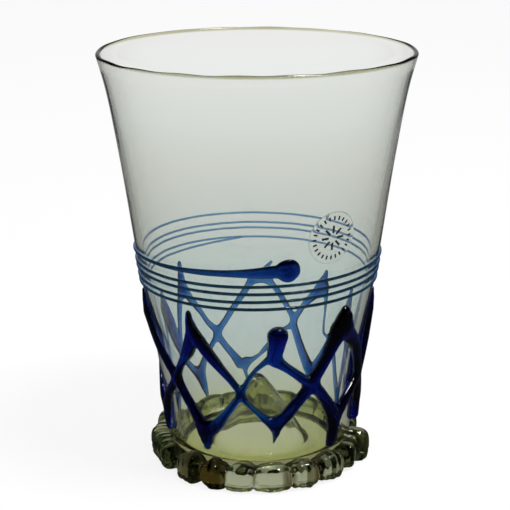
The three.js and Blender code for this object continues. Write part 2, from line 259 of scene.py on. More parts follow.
def smooth_curve(xs, ys):
    """A function whose curve runs smoothly through the points. It stays level past both ends."""
    xs, ys = np.array(xs, float), np.array(ys, float)
    secants = np.diff(ys) / np.diff(xs)
    slopes = np.concatenate([secants[:1], (secants[1:] + secants[:-1]) / 2, secants[-1:]])

    def value(x):
        x = np.clip(x, xs[0], xs[-1])
        k = np.clip(np.searchsorted(xs, x, side="right") - 1, 0, len(xs) - 2)
        span = xs[k + 1] - xs[k]
        t = (x - xs[k]) / span
        rise = t * t * (3 - 2 * t)
        start, end = t * (1 - t) ** 2, t * t * (t - 1)
        return ys[k] + (ys[k + 1] - ys[k]) * rise + span * (slopes[k] * start + slopes[k + 1] * end)

    return value


flare = smooth_curve(FLARE_HEIGHTS, FLARE_SHARES)
wall_thickness = smooth_curve(WALL_HEIGHTS, WALL_THICKNESSES)


def out_of_round(angle, z):
    share = np.clip(z / HEIGHT, 0, 1) ** 2
    return OUT_OF_ROUND * share * np.cos(2 * np.radians(angle - OUT_OF_ROUND_ANGLE))


def wall_radius(z, angle=None):
    """Outer radius of the wall at a height, and at an angle if it is given."""
    share = np.clip((z - HEEL_TOP) / (HEIGHT - HEEL_TOP), 0, 1)
    radius = HEEL_RADIUS + (RIM_RADIUS - HEEL_RADIUS) * flare(share)
    return radius if angle is None else radius + out_of_round(angle, z)


def round_points(angle, radius, z):
    """Points at angles round the axis, at distances from it and at heights."""
    turn = np.radians(angle)
    return np.stack([radius * np.sin(turn), -radius * np.cos(turn), z], axis=-1)


def wall_points(angle, z, stand_off):
    """Points that stand off the outside of the wall, square to it."""
    slope = (wall_radius(z + SLOPE_SPAN / 2) - wall_radius(z - SLOPE_SPAN / 2)) / SLOPE_SPAN
    length = np.hypot(1, slope)
    return round_points(angle, wall_radius(z, angle) + stand_off / length, z - stand_off * slope / length)


def signed_angle(angle):
    """The same direction as an angle from -180 to 180."""
    return (angle + 180) % 360 - 180


def ripple(angle, along, waves, fewest, most):
    """A smooth, uneven surface made of a few waves that close round the glass, each with a count
    of crests from the fewest up to, but not including, the most."""
    total = 0
    for _ in range(waves):
        count = RANDOM.integers(fewest, most)
        pitch = RANDOM.uniform(-RIPPLE_PITCH, RIPPLE_PITCH)
        phase = RANDOM.uniform(0, 2 * math.pi)
        total = total + np.sin(count * np.radians(angle) + pitch * along + phase)
    return total / waves


# Scene building

def grid_faces(rows, columns, wrap_rows=False):
    """Faces of a grid of points that closes round its columns, and round its rows if asked."""
    row_pairs = [(i, (i + 1) % rows) for i in range(rows if wrap_rows else rows - 1)]
    return [
        (a * columns + j, a * columns + (j + 1) % columns, b * columns + (j + 1) % columns, b * columns + j)
        for a, b in row_pairs
        for j in range(columns)
    ]


def closed_grid_faces(rows, columns):
    """Faces of a grid that closes round its columns, with a fan from its first row to one more
    point, and from its last row to another."""
    faces = grid_faces(rows, columns)
    first_point = rows * columns
    last_row = first_point - columns
    for j in range(columns):
        after = (j + 1) % columns
        faces.append((first_point, after, j))
        faces.append((first_point + 1, last_row + j, last_row + after))
    return faces


def make_piece(name, points, faces, material, slot, *nodes):
    """A smooth piece of the glass, in the row frame, that stands for the CAD nodes if any are named."""
    mesh = bpy.data.meshes.new(name)
    mesh.from_pydata((np.asarray(points).reshape(-1, 3) * MM).tolist(), [], faces)
    mesh.polygons.foreach_set("use_smooth", [True] * len(mesh.polygons))
    mesh.materials.append(material)
    mesh.update()
    piece = bpy.data.objects.new(name, mesh)
    bpy.context.scene.collection.objects.link(piece)
    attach(piece, "root")
    if nodes:
        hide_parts(*nodes)
    return piece


def store_numbers(piece, name, values):
    """Gives each point of a piece a number that its material reads by name."""
    attribute = piece.data.attributes.new(name, "FLOAT", "POINT")
    attribute.data.foreach_set("value", values)


def empty_tree(owner):
    """The node tree of a material or a world, with no nodes in it."""
    owner.use_nodes = True
    owner.node_tree.nodes.clear()
    return owner.node_tree


def add_node(tree, kind, inputs=None, **settings):
    """A shader node with its settings and its inputs, which are values or other nodes' sockets."""
    made = tree.nodes.new(kind)
    for name, value in settings.items():
        setattr(made, name, value)
    for name, value in (inputs or {}).items():
        if isinstance(value, bpy.types.NodeSocket):
            tree.links.new(value, made.inputs[name])
        else:
            made.inputs[name].default_value = value
    return made


def map_range(tree, value, low, high, start=0.0, end=1.0, smooth=False):
    """A socket that goes from low to high as the value goes from start to end."""
    return add_node(tree, "ShaderNodeMapRange", {
        "Value": value, "From Min": start, "From Max": end, "To Min": low, "To Max": high,
    }, interpolation_type="SMOOTHSTEP" if smooth else "LINEAR").outputs["Result"]


def calculate(tree, operation, first, second, **settings):
    return add_node(tree, "ShaderNodeMath", {0: first, 1: second}, operation=operation, **settings).outputs[0]


def object_place(tree):
    """The place on a piece in metres, as one socket, and as sockets by the names of the axes."""
    place = add_node(tree, "ShaderNodeTexCoord").outputs["Object"]
    return place, add_node(tree, "ShaderNodeSeparateXYZ", {0: place}).outputs


def mix(tree, share, first, second, **settings):
    """A colour that goes from the first to the second as the share goes from 0 to 1. The numbers are
    those of the Mix node's sockets for colours."""
    return add_node(tree, "ShaderNodeMix", {
        0: share, 6: first, 7: second,
    }, data_type="RGBA", **settings).outputs[2]


def make_camera():
    data = bpy.data.cameras.new("camera")
    data.sensor_width = SENSOR_WIDTH
    data.lens = FOCAL_LENGTH
    data.shift_x = CAMERA_SHIFT
    camera = bpy.data.objects.new("camera", data)
    tilt = Matrix.Rotation(math.radians(90 - CAMERA_PITCH), 4, "X")
    roll = Matrix.Rotation(math.radians(CAMERA_ROLL), 4, "Z")
    place = Matrix.Translation((0, -CAMERA_DISTANCE * MM, CAMERA_HEIGHT * MM))
    camera.matrix_world = place @ tilt @ roll
    bpy.context.scene.collection.objects.link(camera)
    bpy.context.scene.camera = camera


make_camera()


# Surroundings, with sizes in metres

LAMP_DISTANCE = 0.95
LAMP_DIRECTION = (0.3, -0.2, 0.93)
LAMP_SIZE = 0.26
LAMP_WATTS = 7.5
FLOOR_SIZE = 8.0
FLOOR_DROP = 0.0001
FLOOR_GLOW = 0.86
FLOOR_GLOW_UNDER_FOOT = 0.75
FLOOR_GLOW_RADII = (0.024, 0.035)
FLOOR_TONES = (0.86, 0.9)
FLOOR_SPECKLE_SCALE = 90.0
WORLD_LIGHT = 0.62
# The brightness overhead that rays show outside the glass and through it, and the heights, as
# sines, between which the sky turns from white to that
SKY_DARK = 0.05
SKY_DARK_INSIDE = 0.45
SKY_BRIGHT_BELOW = 0.2
SKY_DARK_ABOVE = 0.6
# How much of the surroundings a ray shows that was mirrored on the glass, or inside it: in front of
# the glass and behind it
MIRRORED_SHARES = (0.03, 0.38)
INSIDE_SHARES = (0.6, 0.85)
# The stretch over which the front turns into the back, as the cosine of the angle to straight back
TURNS_BRIGHT = (0.85, 1.0)


def seen_rays(tree, backward):
    """Three sockets: 1 for rays straight from the camera, 1 for all the rays that show the
    surroundings (straight, mirrored or through glass), and how much of them such a ray shows.
    A ray that was mirrored, on glass or inside it, shows the front of the studio dimmed, because
    that side is unlit. The backward socket is the cosine of the angle to straight back."""
    path = add_node(tree, "ShaderNodeLightPath")
    kinds = ("Camera", "Glossy", "Transmission")
    direct, glossy, through = (path.outputs[f"Is {kind} Ray"] for kind in kinds)
    either = calculate(tree, "ADD", glossy, through)
    seen = calculate(tree, "ADD", direct, either, use_clamp=True)
    mirrored, inside = (
        map_range(tree, backward, *shares, *TURNS_BRIGHT, smooth=True)
        for shares in (MIRRORED_SHARES, INSIDE_SHARES)
    )
    share = map_range(tree, path.outputs["Transmission Depth"], mirrored, inside)
    strength = map_range(tree, path.outputs["Glossy Depth"], 1.0, share)
    return direct, seen, strength


def make_world():
    world = bpy.data.worlds.new("studio")
    tree = empty_tree(world)
    place = add_node(tree, "ShaderNodeTexCoord")
    axes = add_node(tree, "ShaderNodeSeparateXYZ", {0: place.outputs["Generated"]})
    direct, seen, strength = seen_rays(tree, axes.outputs["Y"])
    path = add_node(tree, "ShaderNodeLightPath")
    overhead = map_range(tree, path.outputs["Transmission Depth"], SKY_DARK, SKY_DARK_INSIDE)
    height = axes.outputs["Z"]
    sky = map_range(tree, height, 1.0, overhead, SKY_BRIGHT_BELOW, SKY_DARK_ABOVE, smooth=True)
    bright = calculate(tree, "MAXIMUM", sky, direct)
    shown = calculate(tree, "MULTIPLY", bright, strength)
    plain = add_node(tree, "ShaderNodeBackground", {"Color": WHITE, "Strength": WORLD_LIGHT})
    white = add_node(tree, "ShaderNodeBackground", {"Color": WHITE, "Strength": shown})
    mixed = add_node(tree, "ShaderNodeMixShader", {
        0: seen, 1: plain.outputs[0], 2: white.outputs[0],
    })
    add_node(tree, "ShaderNodeOutputWorld", {"Surface": mixed.outputs[0]})
    bpy.context.scene.world = world


def make_floor():
    material = bpy.data.materials.new("floor")
    tree = empty_tree(material)
    place, axes = object_place(tree)
    reach = add_node(tree, "ShaderNodeVectorMath", {0: place}, operation="LENGTH").outputs["Value"]
    _, seen, strength = seen_rays(tree, calculate(tree, "DIVIDE", axes["Y"], reach))
    glow = map_range(tree, reach, FLOOR_GLOW_UNDER_FOOT, FLOOR_GLOW, *FLOOR_GLOW_RADII, smooth=True)
    share = calculate(tree, "MULTIPLY", glow, seen)
    speckle = add_node(tree, "ShaderNodeTexNoise", {"Scale": FLOOR_SPECKLE_SCALE, "Detail": 2.0})
    shade = calculate(tree, "MULTIPLY", map_range(tree, speckle.outputs[0], *FLOOR_TONES), strength)
    paint = add_node(tree, "ShaderNodeBsdfDiffuse", {"Color": shade})
    light = add_node(tree, "ShaderNodeEmission", {"Color": WHITE, "Strength": strength})
    mixed = add_node(tree, "ShaderNodeMixShader", {
        0: share, 1: paint.outputs[0], 2: light.outputs[0],
    })
    add_node(tree, "ShaderNodeOutputMaterial", {"Surface": mixed.outputs[0]})
    half = FLOOR_SIZE / 2
    corners = [(-half, -half, 0), (half, -half, 0), (half, half, 0), (-half, half, 0)]
    mesh = bpy.data.meshes.new("floor")
    mesh.from_pydata(corners, [], [(0, 1, 2, 3)])
    mesh.materials.append(material)
    floor = bpy.data.objects.new("floor", mesh)
    floor.location.z = -FLOOR_DROP
    bpy.context.scene.collection.objects.link(floor)


def make_lamp():
    data = bpy.data.lights.new("softbox", "AREA")
    data.shape = "SQUARE"
    data.size = LAMP_SIZE
    data.energy = LAMP_WATTS
    lamp = bpy.data.objects.new("softbox", data)
    middle = np.array([0, 0, HEIGHT * MM / 2])
    direction = np.array(LAMP_DIRECTION) / np.linalg.norm(LAMP_DIRECTION)
    lamp.location = middle + LAMP_DISTANCE * direction
    lamp.rotation_mode = "QUATERNION"
    lamp.rotation_quaternion = Vector(direction).to_track_quat("Z", "Y")
    bpy.context.scene.collection.objects.link(lamp)


make_world()
make_floor()
make_lamp()


# Materials

GLASS_IOR = 1.5
CLOUD_SCALE = 38.0
STRIAE_SQUEEZE = (1.0, 1.0, 0.35)


def glass(name, tints, absorbed, density, roughness, bump_distance, bump_scale, tone=None):
    """Glass with a faintly uneven tint and polish, fine striae, and colour that deepens with
    thickness. The absorbed colour's dark channels are the ones that the glass takes out, and the
    bump's distance is in metres. tone(tree) may make a socket with a colour that multiplies the
    tint."""
    material = bpy.data.materials.new(name)
    tree = empty_tree(material)
    place, _ = object_place(tree)
    cloud = add_node(tree, "ShaderNodeTexNoise", {
        "Vector": place, "Scale": CLOUD_SCALE, "Detail": 3.0, "Roughness": 0.5,
    })
    tint = mix(tree, cloud.outputs[0], (*tints[0], 1), (*tints[1], 1))
    if tone:
        tint = mix(tree, 1.0, tint, tone(tree), blend_type="MULTIPLY")
    squeezed = add_node(tree, "ShaderNodeMapping", {"Vector": place, "Scale": STRIAE_SQUEEZE})
    striae = add_node(tree, "ShaderNodeTexNoise", {
        "Vector": squeezed.outputs[0], "Scale": bump_scale, "Detail": 2.0, "Roughness": 0.45,
    })
    bump = add_node(tree, "ShaderNodeBump", {
        "Strength": 1.0, "Distance": bump_distance, "Height": striae.outputs[0],
    })
    shader = add_node(tree, "ShaderNodeBsdfPrincipled", {
        "Base Color": tint, "Roughness": map_range(tree, cloud.outputs[0], *roughness),
        "IOR": GLASS_IOR, "Transmission Weight": 1.0, "Normal": bump.outputs[0],
    })
    volume = add_node(tree, "ShaderNodeVolumeAbsorption", {"Color": (*absorbed, 1), "Density": density})
    add_node(tree, "ShaderNodeOutputMaterial", {
        "Surface": shader.outputs[0], "Volume": volume.outputs[0],
    })
    return material


def tone_ramp(tree, distance, tones, whole):
    """A colour that follows a distance in metres. The tones are distances and colours, and no
    distance is more than the whole."""
    ramp = add_node(tree, "ShaderNodeValToRGB", {0: map_range(tree, distance, 0.0, 1.0, 0.0, whole * MM)})
    stops = ramp.color_ramp.elements
    while len(stops) < len(tones):
        stops.new(0.5)
    for stop, (place, colour) in zip(stops, tones):
        stop.position = place / whole
        stop.color = (*colour, 1)
    return ramp.outputs["Color"]


def bowl_tone(tree):
    """Darker towards the foot, yellow-green in the base, and dark olive painted shade at the heel and on the
    rim.
    """
    _, axes = object_place(tree)
    flat = add_node(tree, "ShaderNodeCombineXYZ", {0: axes["X"], 1: axes["Y"]})
    reach = add_node(tree, "ShaderNodeVectorMath", {0: flat.outputs[0]}, operation="LENGTH").outputs["Value"]
    flat_radius = HEEL_RADIUS - HEEL_ROUND
    inner = map_range(tree, reach, 1.0, 0.0, flat_radius * MM, HEEL_RADIUS * MM, smooth=True)
    wall = tone_ramp(tree, axes["Z"], WALL_TONES_AND_SHADE, HEIGHT)
    base = tone_ramp(tree, reach, BASE_TONES, HEEL_RADIUS)
    return mix(tree, inner, wall, base)


def foot_brown_shade(tree):
    """Brown painted shade in the pits between the lobes, along the edges of their pads and on whole lobes."""
    brown_shade = add_node(tree, "ShaderNodeAttribute", attribute_name=BROWN_SHADE_ATTRIBUTE)
    return mix(tree, brown_shade.outputs["Fac"], WHITE, (*PAINTED_BROWN_SHADE_TONE, 1))


def trail_back_shade(tree):
    """Painted shade that makes the trails darker and a deeper blue at the back, where they are flatter."""
    _, axes = object_place(tree)
    back = map_range(tree, axes["Y"], 0.0, 1.0, BACK_SHADE_FROM * MM, BACK_SHADE_TO * MM, smooth=True)
    return mix(tree, back, WHITE, (*BACK_SHADE_TONE, 1))


def thread_front_shade(tree):
    """Blue where the thread is thick and at the back, and darkened by painted shade where it is thin in
    front.
    """
    front_shade = add_node(tree, "ShaderNodeAttribute", attribute_name=THIN_FRONT_SHADE_ATTRIBUTE)
    return mix(tree, front_shade.outputs["Fac"], WHITE, (*THIN_FRONT_SHADE_TONE, 1))


# The wall's colour at heights up to the rim, darker towards the foot, with dark olive painted shade at the
# heel and on the rim, and the base's at distances from the axis, in mm
WALL_TONES_AND_SHADE = [
    (7, (0.68, 0.7, 0.33)), (12, (0.75, 0.78, 0.66)), (24, (0.787, 0.832, 0.847)),
    (50, (0.773, 0.854, 0.871)), (85, (0.878, 0.896, 0.885)), (100, (0.923, 0.945, 0.943)),
    (115, (0.972, 1.0, 1.0)), (129.1, (1.0, 1.0, 1.0)), (129.5, (0.5, 0.49, 0.3)),
]
BASE_TONES = [
    (0, (0.64, 0.64, 0.33)), (5, (0.66, 0.66, 0.37)), (8.5, (0.74, 0.74, 0.52)), (13, (0.82, 0.845, 0.62)),
    (16, (0.76, 0.79, 0.46)), (23, (0.76, 0.79, 0.45)),
]
# Painted shade that makes the trails darker and a deeper blue at the back, and the places on Y between which
# it sets in
BACK_SHADE_TONE = (0.63, 0.75, 0.88)
BACK_SHADE_FROM = 8
BACK_SHADE_TO = 20
# Painted shade on the thread where it is thin in front, and the name of the number that says how much of it
# each point has
THIN_FRONT_SHADE_TONE = (0.1, 0.22, 0.19)
THIN_FRONT_SHADE_ATTRIBUTE = "thin_front_shade"
# Brown painted shade on the foot ring, and the name of the number that says how much of it each point has
PAINTED_BROWN_SHADE_TONE = (0.08, 0.055, 0.012)
BROWN_SHADE_ATTRIBUTE = "painted_brown_shade"

BOWL_GLASS = glass(
    "bowl_glass", tints=((1.0, 1.0, 1.0), (0.985, 0.99, 0.985)), absorbed=(0.3, 0.3, 0.1),
    density=80.0, roughness=(0.0, 0.02), bump_distance=0.00006, bump_scale=70.0, tone=bowl_tone,
)
FOOT_GLASS = glass(
    "foot_glass", tints=((0.99, 0.99, 0.87), (0.96, 0.93, 0.75)), absorbed=(0.4, 0.52, 0.24),
    density=100.0, roughness=(0.0, 0.03), bump_distance=0.0001, bump_scale=120.0, tone=foot_brown_shade,
)
THREAD_GLASS = glass(
    "thread_glass", tints=((0.82, 0.91, 0.96), (0.75, 0.87, 0.94)), absorbed=(0.03, 0.42, 0.76),
    density=2100.0, roughness=(0.0, 0.03), bump_distance=0.00003, bump_scale=220.0, tone=thread_front_shade,
)
TRAIL_GLASS = glass(
    "trail_glass", tints=((0.6, 0.83, 0.99), (0.52, 0.77, 0.97)), absorbed=(0.0156, 0.48, 0.82),
    density=3700.0, roughness=(0.0, 0.03), bump_distance=0.00004, bump_scale=180.0, tone=trail_back_shade,
)


# Bowl

def kick_height(radius):
    """Height of the inside of the base, which is flat outside the kick and creased at its foot."""
    along = np.hypot(radius, KICK_TIP_ROUND) - KICK_TIP_ROUND
    whole = math.hypot(KICK_RADIUS, KICK_TIP_ROUND) - KICK_TIP_ROUND
    rise = (KICK_HEIGHT - FLOOR_TOP) * (1 - (along / whole) ** KICK_SWELL)
    return FLOOR_TOP + CREASE_ROUND * np.log1p(np.exp(rise / CREASE_ROUND))


def bowl_profile():
    """Radius and height from under the kick's apex, up the outside, over the lip and down to the
    apex inside. The first and the last point are on the axis."""
    heel_start = -math.asin((HEEL_TOP - FLOOR_TOP + FLOOR) / HEEL_ROUND)
    shares = np.linspace(0, 1, BASE_STEPS + 1)
    under_radius = shares * (HEEL_RADIUS - HEEL_ROUND + HEEL_ROUND * math.cos(heel_start))
    under = [under_radius, kick_height(under_radius) - FLOOR]
    heel_turn = np.linspace(heel_start, 0, ARC_STEPS + 1)[1:]
    heel = [
        HEEL_RADIUS - HEEL_ROUND + HEEL_ROUND * np.cos(heel_turn),
        HEEL_TOP + HEEL_ROUND * np.sin(heel_turn),
    ]
    lip_height = HEIGHT - LIP / 2
    outside_z = np.linspace(HEEL_TOP, lip_height, WALL_STEPS + 1)[1:]
    outside = [wall_radius(outside_z), outside_z]
    lip_turn = np.radians(np.linspace(0, 180, LIP_STEPS + 1)[1:-1])
    lip_radius = wall_radius(lip_height) - LIP / 2
    lip = [lip_radius + LIP / 2 * np.cos(lip_turn), lip_height + LIP / 2 * np.sin(lip_turn)]
    inner_heel_top = FLOOR_TOP + INNER_HEEL_ROUND
    inside_z = np.linspace(lip_height, inner_heel_top, WALL_STEPS + 1)
    swell = np.exp(-(((lip_height - inside_z) / LIP_SWELL_HEIGHT) ** 2))
    thickness = wall_thickness(inside_z) + (LIP - wall_thickness(lip_height)) * swell
    inside = [wall_radius(inside_z) - thickness, inside_z]
    inner_heel_radius = inside[0][-1] - INNER_HEEL_ROUND
    inner_turn = np.radians(np.linspace(0, -90, ARC_STEPS + 1)[1:])
    inner_heel = [
        inner_heel_radius + INNER_HEEL_ROUND * np.cos(inner_turn),
        inner_heel_top + INNER_HEEL_ROUND * np.sin(inner_turn),
    ]
    inner_radius = shares[::-1] * inner_heel_radius
    base = [inner_radius[1:], kick_height(inner_radius[1:])]
    parts = [under, heel, outside, lip, inside, inner_heel, base]
    return np.concatenate([np.stack(part, axis=1) for part in parts])


def make_bowl():
    profile = bowl_profile()
    angle = np.arange(ROUND_SEGMENTS) * 360 / ROUND_SEGMENTS
    ring = profile[1:-1]
    radius = ring[:, :1] + out_of_round(angle, ring[:, 1:])
    share = (ring[:, 1:] / HEIGHT) ** OUT_OF_LEVEL_POWER
    wobble = np.sin(np.radians(2 * angle + OUT_OF_LEVEL_ANGLE)) + RIM_WOBBLE * ripple(angle, 0, *RIM_WAVES)
    z = ring[:, 1:] + OUT_OF_LEVEL * share * wobble
    kick = np.clip(1 - ring[:, :1] / KICK_RADIUS, 0, 1)
    under = np.arange(len(ring))[:, None] < BASE_STEPS
    spans = radius / KICK_RIPPLE_SPAN
    streaks = np.where(under, ripple(angle, spans, *KICK_WAVES), ripple(angle, spans, *KICK_WAVES))
    z = z + KICK_RIPPLE * np.minimum(kick * KICK_RIPPLE_GROWTH, 1) * np.minimum(spans, 1) * streaks
    poles = [(0, 0, profile[0, 1]), (0, 0, profile[-1, 1])]
    points = np.concatenate([round_points(angle, radius, z).reshape(-1, 3), poles])
    faces = closed_grid_faces(len(ring), ROUND_SEGMENTS)
    make_piece("bowl_blown", points, faces, BOWL_GLASS, "bowl_glass", "bowl")


make_bowl()


# Foot ring

def notch_angles():
    first = FRONT_NOTCHES[0] + 360
    last = FRONT_NOTCHES[-1]
    back = [last + (first - last) * (i + 1) / BACK_CRIMPS for i in range(BACK_CRIMPS - 1)]
    back = [angle + RANDOM.uniform(-CRIMP_JITTER, CRIMP_JITTER) for angle in back]
    return FRONT_NOTCHES + back + [first]


def notches_and_pit_shade(notches, angle, degrees):
    """How deep the notches are, and how much brown painted shade the pits between the lobes get, all over the
    ring.
    """
    depth = smooth_curve(NOTCH_DEGREES, NOTCH_DEPTHS)(degrees)
    width = smooth_curve(NOTCH_DEGREES, NOTCH_WIDTHS)(degrees)
    pit_shade_width = np.interp(degrees, PIT_SHADE_DEGREES, PIT_SHADE_WIDTHS)
    dent = 0
    pit_shade = 0
    for notch in notches:
        slant = RANDOM.uniform(-NOTCH_SLANT, NOTCH_SLANT)
        strength = RANDOM.uniform(*NOTCH_STRENGTHS)
        middle = notch + slant * degrees / 90
        arc = np.abs(np.radians(signed_angle(angle - middle))) * (RING_CENTRE_RADIUS + RING_REACH)
        dent = np.maximum(dent, strength * depth * np.exp(-((arc / width) ** NOTCH_SHARPNESS)))
        pit_shade = np.maximum(pit_shade, np.exp(-((arc / pit_shade_width) ** 2)))
    return dent, pit_shade


def ring_seat():
    """Radius and height of the ring's hidden side, from its toe up along the heel."""
    inner_radius = HEEL_RADIUS - RING_UNDERLAP
    seat_radius = HEEL_ROUND - RING_SINK
    seat_centre = HEEL_RADIUS - HEEL_ROUND
    seat_start = -math.degrees(math.acos((inner_radius - seat_centre) / seat_radius))
    corner = RING_TOE_ROUND * RING_TOE_CORNER
    toe = [
        (inner_radius + RING_TOE_ROUND, 0), (inner_radius + corner, corner), (inner_radius, RING_TOE_ROUND),
    ]
    seat_turn = np.radians(np.linspace(seat_start, SEAT_TOP_DEGREES, ARC_STEPS))
    seat = [
        (seat_centre + seat_radius * math.cos(t), HEEL_TOP + seat_radius * math.sin(t)) for t in seat_turn
    ]
    return np.array(toe + seat)


def make_foot_ring():
    notches = np.array(notch_angles())
    lobes = len(notches) - 1
    angle = np.concatenate([
        np.linspace(notches[i], notches[i + 1], LOBE_STEPS, endpoint=False) for i in range(lobes)
    ])
    along_lobe = np.tile(np.arange(LOBE_STEPS) / LOBE_STEPS, lobes)
    size = np.repeat(RANDOM.uniform(-1, 1, lobes) * LOBE_VARIATION, LOBE_STEPS)
    bulge = (LOBE_BULGE + size) * np.sqrt(np.sin(math.pi * along_lobe))
    # Degrees round the ring's section, where 0 is its outermost side and 90 is its top
    degrees = np.linspace(RING_TOP_DEGREES, RING_BOTTOM_DEGREES, SECTION_STEPS)[:, None]
    dent, pit_shade = notches_and_pit_shade(notches[:-1], angle, degrees)
    way_round = signed_angle(angle)
    sideways = np.abs(way_round)
    fold_share = np.interp(sideways, FOLD_ANGLES, FOLD_SHARES)
    folds = FOLD_DEPTH * fold_share * ripple(angle, degrees / FOLD_SPAN, *FOLD_WAVES)
    swells = SWELL_DEPTH * ripple(angle, degrees / SWELL_SPAN, *SWELL_WAVES)
    sway = 0
    for middle, reach, amount in RING_SWAYS:
        sway = sway + amount * np.exp(-((signed_angle(angle - middle) / reach) ** 2))
    pad_edge = PAD_EDGE_DEGREES + PAD_EDGE_CLIMB * (2 * along_lobe - 1) ** 2
    groove = PAD_EDGE_DEPTH * np.exp(-(((degrees - pad_edge) / PAD_EDGE_WIDTH) ** 2))
    scale = 1 + (bulge - dent - groove + swells + folds + sway) / RING_REACH
    turn = np.radians(degrees)
    power = 2 / RING_SQUARENESS
    across = np.sign(np.cos(turn)) * np.abs(np.cos(turn)) ** power
    up = np.sign(np.sin(turn)) * np.abs(np.sin(turn)) ** power
    radius = RING_CENTRE_RADIUS + across * np.where(across > 0, RING_REACH * scale, RING_INNER_REACH)
    tall = np.where(turn > 0, HEEL_TOP + RING_RISE - RING_CENTRE_HEIGHT, RING_CENTRE_HEIGHT)
    uneven = np.interp(sideways, TOP_ANGLES, TOP_SHARES)
    height = np.maximum(RING_CENTRE_HEIGHT + tall * up * (1 + (scale - 1) * uneven), 0)
    seat = ring_seat()
    spread = np.ones_like(angle)
    radius = np.concatenate([radius, seat[:, :1] * spread])
    height = np.concatenate([height, seat[:, 1:] * spread])
    faces = [tuple(reversed(face)) for face in grid_faces(len(radius), len(angle), wrap_rows=True)]
    points = round_points(angle, radius, height)
    piece = make_piece("foot_ring_pinched", points, faces, FOOT_GLASS, "foot_glass", "foot_ring")
    # Brown painted shade: under the lobes on the right, in the pits, along the pad edges, and by angle round
    # the ring
    low = np.interp(way_round, LOW_BROWN_SHADE_ANGLES, LOW_BROWN_SHADE_SHARES)
    low = low * np.interp(degrees, LOW_BROWN_SHADE_DEGREES, [1, 0])
    marks = np.maximum(np.maximum(pit_shade, low), groove / PAD_EDGE_DEPTH * PAD_EDGE_BROWN_SHADE)
    marks = np.concatenate([marks, np.zeros((len(seat), len(angle)))])
    brown_shade = np.maximum(np.interp(way_round, BROWN_SHADE_ANGLES, BROWN_SHADE_SHARES), marks)
    store_numbers(piece, BROWN_SHADE_ATTRIBUTE, brown_shade.ravel())


make_foot_ring()


# Spiral thread

def thread_height(turns):
    steady = THREAD_END_HEIGHT + THREAD_PITCH * (THREAD_TURNS - turns)
    wander = THREAD_WANDER * np.sin(math.pi * turns)
    lift = np.clip((turns - THREAD_TURNS + END_LIFT_TURNS) / END_LIFT_TURNS, 0, 1)
    return steady + wander + THREAD_LEAD_IN * np.exp(-turns / LEAD_IN_TURNS) + END_LIFT * lift ** 2


def make_thread():
    start_radius = wall_radius(thread_height(0))
    girth = 2 * math.pi * start_radius
    round_end = -DROP_RADIUS * np.cos(np.linspace(0, math.pi / 2, DROP_STEPS))
    neck = np.linspace(0, THREAD_DISTANCES[-1], NECK_STEPS)[1:]
    rest = np.arange(THREAD_DISTANCES[-1] / girth, THREAD_TURNS, 1 / THREAD_STEPS_A_TURN)[1:] * girth
    distance = np.concatenate([round_end, neck, rest])
    ball = np.sqrt(np.maximum(DROP_RADIUS ** 2 - distance ** 2, 0))
    strand = smooth_curve(THREAD_DISTANCES, THREAD_WIDTHS)(distance) / 2
    way_round = np.radians(THREAD_START_ANGLE) - distance / start_radius
    strand = strand * (1 + THREAD_FRONT_SWELL * np.cos(way_round))
    strand = np.where(distance < 0, 0, strand)
    gap = np.abs(ball - strand)
    half = np.maximum(ball, strand) + np.maximum(DROP_BLEND - gap, 0) ** 2 / (4 * DROP_BLEND) * (distance > 0)
    end_share = np.clip((distance[-1] - distance) / THREAD_END_TAPER, 0, 1)
    half = np.maximum(half * np.sqrt(1 - (1 - end_share) ** 2), THREAD_LEAST)
    flatness = np.interp(half / DROP_RADIUS, [DROP_FLAT_FROM, DROP_FLAT_TO], [1, DROP_FLATNESS])
    deep = half * flatness
    turns = distance / girth
    angle = THREAD_START_ANGLE - 360 * turns
    z = thread_height(np.maximum(turns, 0))
    radius = wall_radius(z)
    along_x, along_z = np.gradient(np.radians(angle) * radius), np.gradient(z)
    length = np.hypot(along_x, along_z)
    along_x, along_z = along_x / length, along_z / length
    side = 2 * math.pi * np.arange(THREAD_SIDES)[:, None] / THREAD_SIDES
    across = half * np.cos(side)
    stand_off = deep * (1 + np.sin(side)) - THREAD_SINK
    points = wall_points(
        angle + np.degrees(-across * along_z / radius), z + across * along_x, stand_off,
    )
    points = points.transpose(1, 0, 2).reshape(-1, 3)
    caps = [points[:THREAD_SIDES].mean(axis=0), points[-THREAD_SIDES:].mean(axis=0)]
    points = np.concatenate([points, caps])
    faces = closed_grid_faces(len(distance), THREAD_SIDES)
    piece = make_piece("thread_wound", points, faces, THREAD_GLASS, "thread_glass", "spiral_thread")
    # Painted shade: more where the thread is thinner, and most in front
    front_shade = np.clip((THREAD_PALE_WIDTH - 2 * half) / (THREAD_PALE_WIDTH - THREAD_DARK_WIDTH), 0, 1)
    front_shade = np.repeat(front_shade * (1 + np.cos(np.radians(angle))) / 2, THREAD_SIDES)
    store_numbers(piece, THIN_FRONT_SHADE_ATTRIBUTE, np.concatenate([front_shade, [front_shade[0], front_shade[-1]]]))


make_thread()


# Lattice. Each strand is a list of points with an angle, a height, a width and, where it isn't the
# usual share of the width, how far it stands off the wall.

